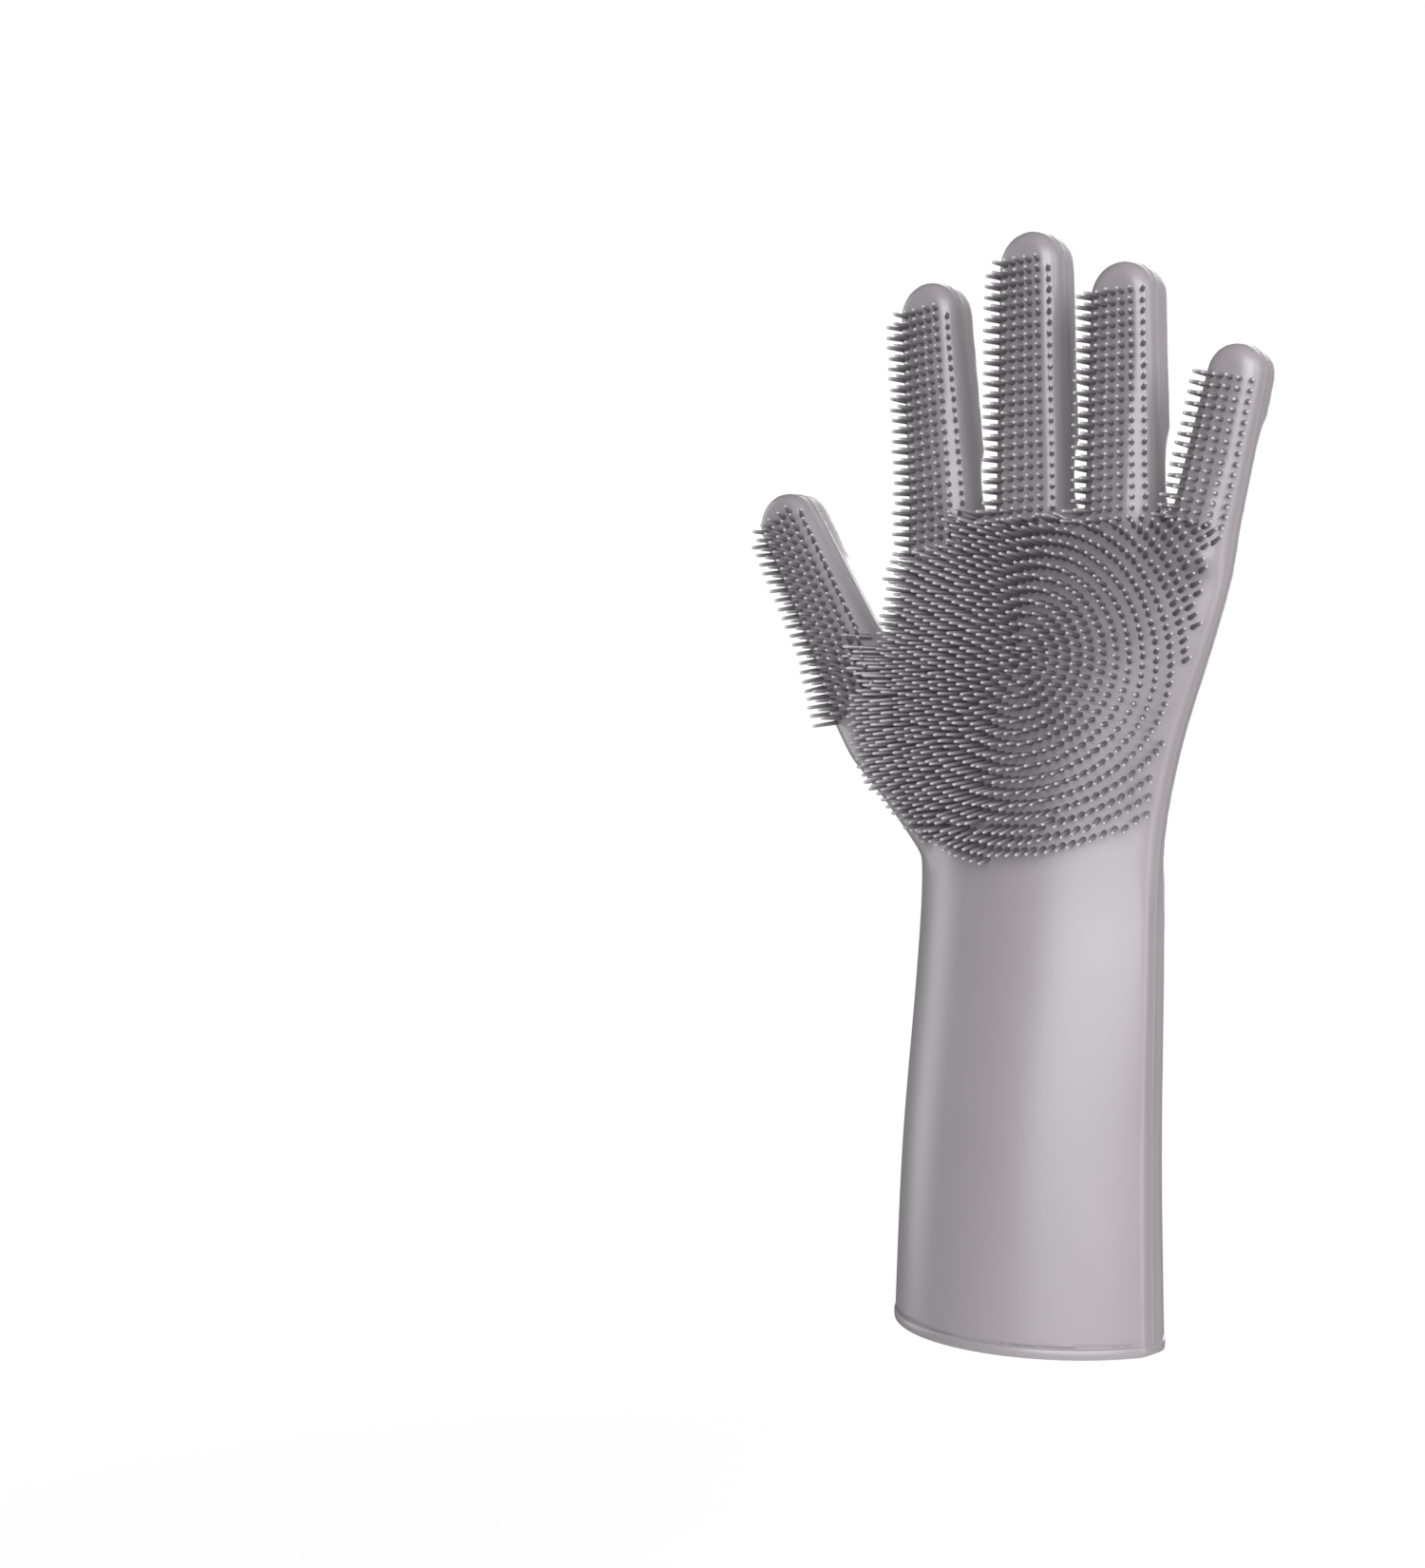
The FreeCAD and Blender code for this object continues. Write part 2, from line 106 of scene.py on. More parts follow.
def loft(name, rings, closed=False):
    """A tube through rings of points: a circle that is extruded ring by ring and laid on each.
    Its two ends are filled, or bridged to each other if it is closed on itself."""
    nothing_selected()
    bpy.ops.mesh.primitive_circle_add(vertices=len(rings[0]), radius=0.01, fill_type="NOTHING")
    obj = bpy.context.object
    obj.name = name
    bpy.ops.object.mode_set(mode="EDIT")
    bpy.ops.mesh.select_mode(type="VERT")
    bpy.ops.mesh.select_all(action="SELECT")
    bm = bmesh.from_edit_mesh(obj.data)
    for vertex, point in zip(bm.verts, rings[0]):
        vertex.co = point
    for ring in rings[1:]:
        bpy.ops.mesh.extrude_region_move(TRANSFORM_OT_translate={"value": (0, 0, 0.001)})
        bm = bmesh.from_edit_mesh(obj.data)
        fresh = [v for v in bm.verts if v.select]
        for vertex, point in zip(fresh, ring):
            vertex.co = point
    bmesh.update_edit_mesh(obj.data)
    bpy.ops.mesh.select_mode(type="EDGE")
    bpy.ops.mesh.select_non_manifold(extend=False, use_boundary=True, use_wire=False,
                                     use_multi_face=False, use_non_contiguous=False,
                                     use_verts=False)
    if closed:
        bpy.ops.mesh.bridge_edge_loops()
    else:
        bpy.ops.mesh.fill_holes(sides=0)
    bpy.ops.mesh.select_mode(type="VERT")
    bpy.ops.mesh.select_all(action="SELECT")
    bpy.ops.mesh.normals_make_consistent(inside=False)
    bpy.ops.object.mode_set(mode="OBJECT")
    return obj


# %% [markdown]
# The sleeve runs from the mouth to the webs between the fingers. Its outline isn't an ellipse:
# the front and the back are crowned, and between them is a flat side wall about 10 mm high, where
# the two halves of the mould meet. A lathe can't make that, so the sleeve is a loft. A circle is
# extruded from height to height, and each ring is laid on the outline there. The heights between
# the measured ones follow a smooth curve, as a carved mould does.

# %% The sleeve's outline
SIDE_BAND = 10.0 * MM
# the share of half a turn that half of a side wall takes
SIDE_SHARE = 0.035
RING_POINTS = 112
# height, middle in X, half width, reach to the front, reach to the back
SLEEVE = [
    (-16, 0.0, 45.8, 34.2, 34.2),
    (0, 0.0, 45.5, 34.0, 34.0),
    (56, 1.0, 44.0, 31.5, 31.0),
    (112, 4.0, 42.0, 27.0, 26.0),
    (134, 5.0, 41.5, 25.5, 24.5),
    (156, 5.5, 43.0, 25.5, 22.5),
    (179.3, 6.0, 48.0, 24.0, 20.0),
    (202.5, 8.5, 53.5, 20.5, 17.0),
    (228.5, 13.0, 57.0, 15.0, 13.0),
    (248.5, 15.5, 57.6, 9.6, 9.4),
]
KNUCKLE_SLOPE = math.radians(4.5)
SLOPE_START, SLOPE_RUN = 190, 58


def smooth_between(rows, height):
    """The row of values at a height, on a smooth curve through the rows."""
    for n in range(len(rows) - 1):
        if height <= rows[n + 1][0] or n == len(rows) - 2:
            break
    low, high = rows[n], rows[n + 1]
    before, after = rows[max(n - 1, 0)], rows[min(n + 2, len(rows) - 1)]
    span = high[0] - low[0]
    t = (height - low[0]) / span
    values = []
    for k in range(1, len(low)):
        rise_low = (high[k] - before[k]) / (high[0] - before[0]) * span
        rise_high = (after[k] - low[k]) / (after[0] - low[0]) * span
        values.append(
            (2 * t**3 - 3 * t**2 + 1) * low[k]
            + (t**3 - 2 * t**2 + t) * rise_low
            + (-2 * t**3 + 3 * t**2) * high[k]
            + (t**3 - t**2) * rise_high
        )
    return values


def sleeve_point(height, turn):
    """A point on the sleeve's outside. turn runs from 0 to 1, from the little finger's side over
    the back and home over the front. height is in mm."""
    centre, half, front, back = [v * MM for v in smooth_between(SLEEVE, height)]
    band, side = SIDE_BAND / 2, SIDE_SHARE
    if turn < 0.5:
        sign, reach, u = 1, back, turn * 2
    else:
        sign, reach, u = -1, front, (1 - turn) * 2
    if u < side:
        x, y = half, band * u / side
    elif u > 1 - side:
        x, y = -half, band * (1 - u) / side
    else:
        x = half * math.cos(math.pi * (u - side) / (1 - 2 * side))
        sagitta = reach - band
        radius = (half**2 + sagitta**2) / (2 * sagitta)
        y = band + math.sqrt(max(radius**2 - x**2, 0)) - (radius - sagitta)
    return Vector((centre + x, sign * y, height * MM))


def sleeve_ring(height):
    """The outline at a height in mm. It tips gradually towards the line of the knuckles."""
    slope = KNUCKLE_SLOPE * min(max((height - SLOPE_START) / SLOPE_RUN, 0), 1)
    middle = smooth_between(SLEEVE, height)[0] * MM
    ring = []
    for n in range(RING_POINTS):
        point = sleeve_point(height, n / RING_POINTS)
        point.z -= (point.x - middle) * math.tan(slope)
        ring.append(point)
    return ring


heights = [-16, -8, 0, 8] + [16 + 8 * n for n in range(29)] + [246, 248.5]
sleeve = loft("sleeve_form", [sleeve_ring(h) for h in heights])
print("sleeve:", len(heights), "rings,", len(sleeve.data.polygons), "faces")


# %% [markdown]
# Each finger of the mould is a flat bar with a round end and softly rounded edges. Its outline,
# seen from the palm, is lofted from the palm side to the back, and the first and last few rings
# are drawn in to round the edges. The foot sinks into the palm and grows thicker there, so that
# the back of the hand rises gently over each knuckle.

# %% The fingers
# name: root X and Z, lean towards the little finger in degrees, length, widths at the root and
# tip, depth
FINGERS = {
    "index": (-29.5, 255.47, -4.5, 71.0, 23.5, 20.4, 16.0),
    "middle": (4.5, 251.93, -0.3, 84.0, 24.0, 20.4, 16.0),
    "ring": (36.5, 249.41, 0.3, 72.1, 23.5, 20.0, 16.0),
    "little": (65.0, 249.56, 14.5, 44.0, 19.0, 16.8, 15.0),
    "thumb": (-69.0, 211.5, -30.0, 60.0, 25.5, 21.0, 17.0),
}
PALM_EDGE, BACK_EDGE = 4.4 * MM, 3.6 * MM


def finger_frame(name):
    """The finger's own axes: +Z along it from its root, +Y through to the back."""
    x, z, lean = FINGERS[name][:3]
    return Matrix.Translation((x * MM, 0, z * MM)) @ Matrix.Rotation(math.radians(lean), 4, "Y")


def finger_outline(name, y, inset, sink):
    """The finger's outline at one depth, drawn in by inset, from one foot over the tip and back."""
    length, root_width, tip_width = [v * MM for v in FINGERS[name][3:6]]
    centre = length - tip_width / 2
    right = [(root_width / 2, -sink), (root_width / 2, -sink / 2), (root_width / 2, 0)]
    right += [(root_width / 2 + (tip_width - root_width) / 2 * t, centre * t) for t in (0.35, 0.7)]
    side = [(x - inset, z) for x, z in right]
    over = []
    for n in range(25):
        a = math.pi * n / 24
        reach = tip_width / 2 - inset
        over.append((reach * math.cos(a), centre + reach * math.sin(a)))
    return [Vector((x, y, z)) for x, z in side + over + [(-x, z) for x, z in reversed(side)]]


def finger_blank(name, sink=20 * MM, swell=1.45):
    """A finger's solid form, in place, with its foot sunk into the palm."""
    half_depth = FINGERS[name][6] * MM / 2
    rings = []
    for n in range(7):
        a = math.pi / 2 * n / 6
        y = -half_depth + PALM_EDGE * (1 - math.cos(a))
        rings.append(finger_outline(name, y, PALM_EDGE * (1 - math.sin(a)), sink))
    for n in range(7):
        a = math.pi / 2 * (1 - n / 6)
        y = half_depth - BACK_EDGE * (1 - math.cos(a))
        rings.append(finger_outline(name, y, BACK_EDGE * (1 - math.sin(a)), sink))
    obj = loft(f"{name}_form", rings)
    for vertex in obj.data.vertices:
        if vertex.co.z < 0:
            vertex.co.y *= 1 + (swell - 1) * min(-vertex.co.z / sink, 1)
    obj.data.transform(finger_frame(name))
    return obj


print({name: round(facts[3]) for name, facts in FINGERS.items()}, "mm long")

# %% Shape the five blanks
blanks = []
for name in FINGERS:
    deep = dict(sink=8 * MM, swell=1.1) if name == "thumb" else {}
    blanks.append(finger_blank(name, **deep))
print([len(b.data.polygons) for b in blanks], "faces in the five blanks")


# %% [markdown]
# The ball of the thumb swells from the thumb's root down into the heel of the palm. It is another
# loft, of rounded rectangles that turn with the thumb and are flatter behind. Then the forms are
# fused: joined into one object and remeshed with fine voxels, which keeps only the outside, and
# smoothed, which rounds the creases between them as a mould maker would with a file. A
# subdivision cage could also do this, but its fingers wouldn't keep such flat backs and straight
# sides.

# %% The ball of the thumb
def rounded_ring(width, depth, x, z, lean, power=3.4):
    """A ring halfway between an ellipse and a rectangle, turned by lean degrees."""
    turn = Matrix.Translation((x, 0, z)) @ Matrix.Rotation(math.radians(lean), 4, "Y")
    ring = []
    for n in range(64):
        a = 2 * math.pi * n / 64
        c, s = math.cos(a), math.sin(a)
        px = math.copysign(abs(c) ** (2 / power), c) * width / 2
        py = math.copysign(abs(s) ** (2 / power), s) * depth / 2
        ring.append(turn @ Vector((px, py, 0)))
    return ring


# width, depth, X, Z, lean, share of the depth that is left behind
BALL = [
    (30, 34, -14.0, 140.0, 4.0, 0.35),
    (34, 37, -19.0, 150.0, 0.0, 0.35),
    (38, 36, -29.0, 166.0, -12.0, 0.38),
    (40, 33, -44.0, 183.0, -23.0, 0.48),
    (34, 26, -57.0, 196.0, -29.0, 0.68),
    (28, 19, -66.5, 207.5, -30.0, 0.9),
    (25.5, 17, -70.0, 213.5, -30.0, 1.0),
]
rings = [rounded_ring(*[v * MM for v in row[:4]], row[4]) for row in BALL]
for ring, row in zip(rings, BALL):
    for point in ring:
        point.y *= row[5] if point.y > 0 else 1
ball = loft("ball_form", rings)
print("ball of the thumb:", len(ball.data.polygons), "faces")

# %% Fuse and smooth the forms
VOXEL = 1.1 * MM
skin = join([sleeve, ball] + blanks, "skin")
apply_modifier(skin, "REMESH", mode="VOXEL", voxel_size=VOXEL, adaptivity=0.0)
apply_modifier(skin, "SMOOTH", factor=0.5, iterations=5)


def soften(obj, weight_at, factor, iterations):
    """Smooths the skin where weight_at(place) says so."""
    group = obj.vertex_groups.new(name="soften")
    for vertex in obj.data.vertices:
        weight = weight_at(vertex.co)
        if weight > 0.01:
            group.add([vertex.index], weight, "REPLACE")
    apply_modifier(obj, "SMOOTH", factor=factor, iterations=iterations, vertex_group="soften")
    obj.vertex_groups.remove(obj.vertex_groups["soften"])


def bump(value, low, high, ramp):
    """1 between low and high, falling to 0 over ramp outside them."""
    return min(max(min(value - low, high - value) / ramp + 1, 0), 1)


soften(skin, lambda p: bump(p.z, 0.140, 0.240, 0.012), 0.5, 60)


def on_the_back(p):
    """1 on the back of the hand and over the knuckles, where the fingers rise out of it."""
    return bump(p.y, 0.0055, 1.0, 0.003) * bump(p.z, 0.150, 0.262, 0.010) * (p.x > -0.075)


soften(skin, on_the_back, 0.5, 260)
print("skin:", len(skin.data.vertices), "vertices")


# %% [markdown]
# Where the two halves of the mould meet, the real glove has a fine raised line up both of its
# sides and round every fingertip. The skin is bisected along that plane and a hair to each side of
# it, and the middle row of points is pushed out a little. It is then bisected again at the mouth
# and where the piece for one region meets the piece for the next, so that the two share their
# edge exactly.

# %% The parting line and the cuts between regions
def bisect(obj, place, normal, wanted=None, clear_below=False):
    """Cuts the faces that wanted(middle) picks along a plane."""
    only(obj)
    bpy.ops.object.mode_set(mode="EDIT")
    bpy.ops.mesh.select_mode(type="FACE")
    bpy.ops.mesh.select_all(action="SELECT" if wanted is None else "DESELECT")
    if wanted is not None:
        bm = bmesh.from_edit_mesh(obj.data)
        for face in bm.faces:
            face.select = wanted(face.calc_center_median())
        bmesh.update_edit_mesh(obj.data)
    bpy.ops.mesh.bisect(plane_co=place, plane_no=normal, clear_inner=clear_below)
    bpy.ops.object.mode_set(mode="OBJECT")


FLASH_HEIGHT = 0.16 * MM
FLASH_HALF_WIDTH = 0.45 * MM
for y in (-FLASH_HALF_WIDTH, 0.0, FLASH_HALF_WIDTH):
    near = lambda c, y=y: abs(c.y - y) < 3 * VOXEL
    bisect(skin, (0, y, 0), (0, 1, 0), near)
for vertex in skin.data.vertices:
    if abs(vertex.co.y) < 0.01 * MM:
        outward = Vector((vertex.normal.x, 0, vertex.normal.z)).normalized()
        vertex.co += outward * FLASH_HEIGHT

RIM_TOP = 3.2 * MM
WRIST_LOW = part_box("wrist_bend")[0].z
WRIST_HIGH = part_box("wrist_bend")[1].z
bisect(skin, (0, 0, RIM_TOP - 0.4 * MM), (0, 0, 1), lambda c: c.z < 0.02, clear_below=True)
for height in (WRIST_LOW, WRIST_HIGH):
    bisect(skin, (0, 0, height), (0, 0, 1), lambda c, h=height: abs(c.z - h) < 4 * VOXEL)

# a fine groove runs along the front and the back just above the rim, except where the tab is
GROOVE_DEPTH = 0.4 * MM
GROOVE_ROWS = (RIM_TOP + 0.05 * MM, RIM_TOP + 0.55 * MM, RIM_TOP + 1.1 * MM)
TAB_HALF_WIDTH = 21.0 * MM
for height in GROOVE_ROWS:
    bisect(skin, (0, 0, height), (0, 0, 1), lambda c: c.z < RIM_TOP + 4 * VOXEL)
for vertex in skin.data.vertices:
    beside_tab = vertex.co.y < 0 or abs(vertex.co.x) > TAB_HALF_WIDTH
    depth = GROOVE_DEPTH * bump(abs(vertex.co.y), SIDE_BAND / 2 + 2.5 * MM, 1.0, 2.0 * MM)
    if vertex.co.z < GROOVE_ROWS[1] + 0.1 * MM and beside_tab and depth > 0:
        inward = -Vector((vertex.normal.x, vertex.normal.y, 0)).normalized()
        vertex.co += inward * depth
print("cuts at", [round(h / MM, 1) for h in (RIM_TOP, WRIST_LOW, WRIST_HIGH)], "mm")

# %% Where each finger bends
# rows of bristles at the tip, the joint's bend, the middle section and the knuckle's bend
ROWS = {
    "index": (6, 6, 3, 4),
    "middle": (8, 6, 4, 5),
    "ring": (6, 6, 3, 5),
    "little": (3, 3, 2, 4),
    "thumb": (4, 5, 2, 4),
}
TIP_MARGIN = 10.0 * MM


def zone_ends(name):
    """Distances from a finger's root to the ends of its knuckle bend, section and joint bend."""
    length = FINGERS[name][3] * MM
    tip, joint, section, knuckle = ROWS[name]
    pitch = (length - TIP_MARGIN) / (tip + joint + section + knuckle - 0.5)
    joint_end = length - TIP_MARGIN - (tip - 0.5) * pitch
    section_end = joint_end - joint * pitch
    return section_end - section * pitch, section_end, joint_end


def in_finger(name, point, slack=3.5 * MM):
    """The distance along the finger if the point is on it, or None."""
    local = INVERSE[name] @ point
    half = FINGERS[name][4] * MM / 2
    return local.z if abs(local.x) < half + slack and local.z > -3 * MM else None


INVERSE = {name: finger_frame(name).inverted() for name in FINGERS}
for name in FINGERS:
    to_glove = finger_frame(name)
    along = (to_glove.to_3x3() @ Vector((0, 0, 1))).normalized()
    for distance in (0.0, *zone_ends(name)):

        def near_cut(c, name=name, distance=distance):
            z = in_finger(name, c)
            return z is not None and abs(z - distance) < 4 * VOXEL

        bisect(skin, to_glove @ Vector((0, 0, distance)), along, near_cut)
    print(name, "bends end at", [round(e / MM, 1) for e in zone_ends(name)], "mm")

# %% Split the skin into its regions
ZONES = ("knuckle_bend", "mid_section", "joint_bend", "fingertip")


def region_of(centre):
    """The region that a face of the skin belongs to."""
    for name in FINGERS:
        along = in_finger(name, centre)
        if along is not None and along > 0:
            ends = zone_ends(name)
            zone = sum(along > end for end in ends)
            return f"{name}_{ZONES[zone]}"
    if centre.z > WRIST_HIGH:
        return "hand"
    return "wrist_bend" if centre.z > WRIST_LOW else "gauntlet"


def take_region(obj, region):
    """Separates one region's faces into an object of their own."""
    only(obj)
    bpy.ops.object.mode_set(mode="EDIT")
    bpy.ops.mesh.select_mode(type="FACE")
    bpy.ops.mesh.select_all(action="DESELECT")
    bm = bmesh.from_edit_mesh(obj.data)
    for face in bm.faces:
        face.select = region_of(face.calc_center_median()) == region
    bmesh.update_edit_mesh(obj.data)
    bpy.ops.mesh.separate(type="SELECTED")
    bpy.ops.object.mode_set(mode="OBJECT")
    part = [o for o in bpy.context.selected_objects if o != obj][0]
    part.name = f"{region}_skin"
    return part


whole = skin.copy()
whole.data = skin.data.copy()
bpy.context.collection.objects.link(whole)
whole.name = "whole_skin"
whole_tree = BVHTree.FromObject(whole, bpy.context.evaluated_depsgraph_get())
regions = ["gauntlet", "wrist_bend"]
regions += [f"{name}_{zone}" for name in FINGERS for zone in ZONES]
skins = {region: take_region(skin, region) for region in regions}
skin.name = "hand_skin"
skins["hand"] = skin
print({region: len(part.data.polygons) for region, part in skins.items()})


# %% [markdown]
# A poured wall is the same thickness everywhere, so every region gets its wall from a Solidify
# modifier that grows inwards. Where two regions meet, each would shade its edge by its own faces
# only, and a seam would show. A Data Transfer modifier copies the whole skin's normals to that
# edge instead, so the light runs on across it.

# %% Give the skin its wall
WALL = 1.6 * MM


def give_wall(part):
    """Grows the wall inwards and leaves the outside's points in the group outside."""
    outer = part.vertex_groups.new(name="outside")
    outer.add(range(len(part.data.vertices)), 1.0, "REPLACE")
    part.vertex_groups.new(name="inside")
    apply_modifier(part, "SOLIDIFY", thickness=WALL, offset=-1.0, use_even_offset=False,
                   use_rim=True, shell_vertex_group="inside", rim_vertex_group="")
    only(part)
    bpy.ops.object.shade_smooth_by_angle(angle=math.radians(50))
    inner = part.vertex_groups["inside"].index
    outer = part.vertex_groups["outside"]
    inside = [v.index for v in part.data.vertices if any(g.group == inner for g in v.groups)]
    outer.remove(inside)


for part in skins.values():
    give_wall(part)
whole.hide_render = True
only(whole)
bpy.ops.object.shade_smooth()
for part in skins.values():
    only(part)
    modifier = part.modifiers.new("Seams", "DATA_TRANSFER")
    modifier.object = whole
    modifier.use_loop_data = True
    modifier.data_types_loops = {"CUSTOM_NORMAL"}
    modifier.loop_mapping = "NEAREST_POLYNOR"
    modifier.vertex_group = "outside"
    bpy.ops.object.modifier_apply(modifier=modifier.name)
    part.vertex_groups.clear()
print("wall:", round(WALL / MM, 2), "mm")


# %% [markdown]
# The rim is a hem that follows the mouth's edge and, at the back, dips round the hanging tab.
# On the real glove it keeps the thin wall from tearing. It is a closed loft of one rounded
# profile, carried along the edge: straight across the front, and round the tab's two shoulders,
# slanting sides and round end behind.

# %% The edge of the mouth and the tab
TAB_DROP, TAB_RADIUS, TAB_SHOULDER = 14.0 * MM, 9.0 * MM, 8.0 * MM
TAB_FLANK = math.radians(45)
HOLE_RADIUS, HOLE_RISE = 3.0 * MM, 8.2 * MM
HOLE_Z = HOLE_RISE - TAB_DROP
MOUTH_HALF, MOUTH_REACH = 45.5 * MM, 34.0 * MM
CORNER = 3.4 * MM
CORNER_NORMAL = Vector((0.97, 0.24, 0)).normalized()
EDGE_START = MOUTH_HALF * math.cos(math.radians(8))


def arc(centre, radius, start, end, count):
    return [
        (centre[0] + radius * math.cos(start + (end - start) * n / count),
         centre[1] + radius * math.sin(start + (end - start) * n / count))
        for n in range(count + 1)
    ]


def tab_edge(offset):
    """(x, z) points of the edge behind, from the tab's right shoulder to its left, in by offset."""
    end = TAB_RADIUS - offset
    centre_z = TAB_RADIUS - TAB_DROP
    shoulder = TAB_SHOULDER + offset
    touch = (end * math.cos(TAB_FLANK), centre_z - end * math.sin(TAB_FLANK))
    rise = (offset - touch[1]) / math.cos(TAB_FLANK)
    corner_x = touch[0] + rise * math.sin(TAB_FLANK)
    reach = shoulder * math.tan((math.pi / 2 - TAB_FLANK) / 2)
    hub = (corner_x + reach, offset - shoulder)
    half = arc(hub, shoulder, math.pi / 2, math.pi / 2 + (math.pi / 2 - TAB_FLANK), 6)
    half += arc((0, centre_z), end, -TAB_FLANK, -math.pi / 2, 8)
    return half + [(-x, z) for x, z in reversed(half[:-1])]


def wall_at(x, z, behind, out=0.0):
    """(point, outward normal) on the mouth's wall at x: out from the outside face."""
    band = SIDE_BAND / 2
    sagitta = MOUTH_REACH - band
    radius = (MOUTH_HALF**2 + sagitta**2) / (2 * sagitta)
    sign = 1 if behind else -1
    normal = Vector((x / radius, sign * math.sqrt(max(1 - (x / radius) ** 2, 0)), 0))
    centre = Vector((0, sign * (band - (radius - sagitta)), z))
    return centre + normal * (radius + out), normal


def side_wall(sign, offset):
    """The three places at one side wall of the mouth, from behind to the front."""
    places = []
    for y in (CORNER, 0, -CORNER):
        normal = Vector((sign, 0, 0))
        if y:
            normal = Vector((sign * CORNER_NORMAL.x, math.copysign(CORNER_NORMAL.y, y), 0))
        places.append((Vector((sign * MOUTH_HALF, y, offset)), normal))
    return places


def rim_path(offset):
    """(point on the outside, outward normal) all round the mouth's edge."""
    edge = tab_edge(offset)
    steps = 22
    right = []
    for n in range(steps):
        x = EDGE_START + (edge[0][0] - EDGE_START) * n / steps
        right.append(wall_at(x, offset, True))
    left = [(Vector((-p.x, p.y, p.z)), Vector((-n.x, n.y, n.z))) for p, n in reversed(right)]
    path = right + [wall_at(x, z, True) for x, z in edge] + left
    path += side_wall(-1, offset)
    front = 48
    for n in range(front + 1):
        a = math.radians(172) + math.radians(-164) * n / front
        path.append(wall_at(MOUTH_HALF * math.cos(a), offset, False))
    return path + list(reversed(side_wall(1, offset)))


# %% The rim's profile, carried round the edge
RIM_PROUD = 0.25 * MM


def rim_profile():
    """(share of the way in from the edge, distance out from the outside face) of each point."""
    inner, outer = -(WALL + RIM_PROUD), RIM_PROUD
    middle, reach = (inner + outer) / 2, (outer - inner) / 2
    profile = []
    for n in range(16):
        a = 2 * math.pi * n / 16
        c, s = math.cos(a), math.sin(a)
        u = 0.5 + 0.5 * math.copysign(abs(s) ** 0.55, s)
        profile.append((u, middle + reach * math.copysign(abs(c) ** 0.55, c)))
    return profile


low, high = rim_path(0.0), rim_path(RIM_TOP)
rings = []
for (p0, n0), (p1, n1) in zip(low, high):
    normal = (n0 + n1).normalized()
    rings.append([p0.lerp(p1, u) + normal * out for u, out in rim_profile()])
rim = loft("rim_bead", rings, closed=True)
only(rim)
bpy.ops.object.shade_smooth_by_angle(angle=math.radians(40))
print("rim:", len(rings), "profiles,", len(rim.data.polygons), "faces")

# %% The tab's plate, with its hole
outline = tab_edge(RIM_TOP - 0.6 * MM)
top = RIM_TOP + 0.3 * MM
width = outline[0][0]
across = [(-width + 2 * width * n / 12, top) for n in range(1, 12)]
loop = outline + [(outline[-1][0], top)] + across + [(outline[0][0], top)]
lowest = len(outline) // 2
hole = []
for n in range(len(loop)):
    turn = -math.pi / 2 + (lowest - n) * 2 * math.pi / len(loop)
    hole.append((HOLE_RADIUS * math.cos(turn), HOLE_Z + HOLE_RADIUS * math.sin(turn)))
steps = 6
rings = []
for n in range(steps + 1):
    t = (n / steps) ** 1.3
    rings.append([wall_at(a[0] + (b[0] - a[0]) * t, a[1] + (b[1] - a[1]) * t, True)[0]
                  for a, b in zip(hole, loop)])
tab = loft("tab_plate", rings)
only(tab)
bpy.ops.object.mode_set(mode="EDIT")
bpy.ops.mesh.select_mode(type="FACE")
bm = bmesh.from_edit_mesh(tab.data)
for face in bm.faces:
    face.select = len(face.verts) > 4
bmesh.update_edit_mesh(tab.data)
bpy.ops.mesh.delete(type="ONLY_FACE")
bpy.ops.mesh.select_all(action="SELECT")
bpy.ops.mesh.normals_make_consistent(inside=False)
bm = bmesh.from_edit_mesh(tab.data)
if sum(f.normal.y for f in bm.faces) < 0:
    bpy.ops.mesh.flip_normals()
bpy.ops.object.mode_set(mode="OBJECT")
apply_modifier(tab, "SOLIDIFY", thickness=WALL, offset=-1.0)
apply_modifier(tab, "BEVEL", width=0.3 * MM, segments=2, limit_method="ANGLE",
               angle_limit=math.radians(60))
only(tab)
bpy.ops.object.shade_smooth_by_angle(angle=math.radians(40))
print("tab:", len(tab.data.polygons), "faces, hole", round(2 * HOLE_RADIUS / MM, 1), "mm")


# %% [markdown]
# The bristles are soft tapered pins, part of the same moulding. One is modelled from a cone with a
# few rings and a round tip, and copied to each place where the frame has one. No two real bristles
# stand quite alike, so each copy leans and bends a little its own way, by seeded random amounts,
# and neighbours drift the same way, as soft pins do that have been stroked and packed. Each starts
# just under the skin. Those on the digits are drawn a seventh shorter than the frame's, because
# they look shorter there on the real glove. A particle system could scatter them, but a mould has
# rows.

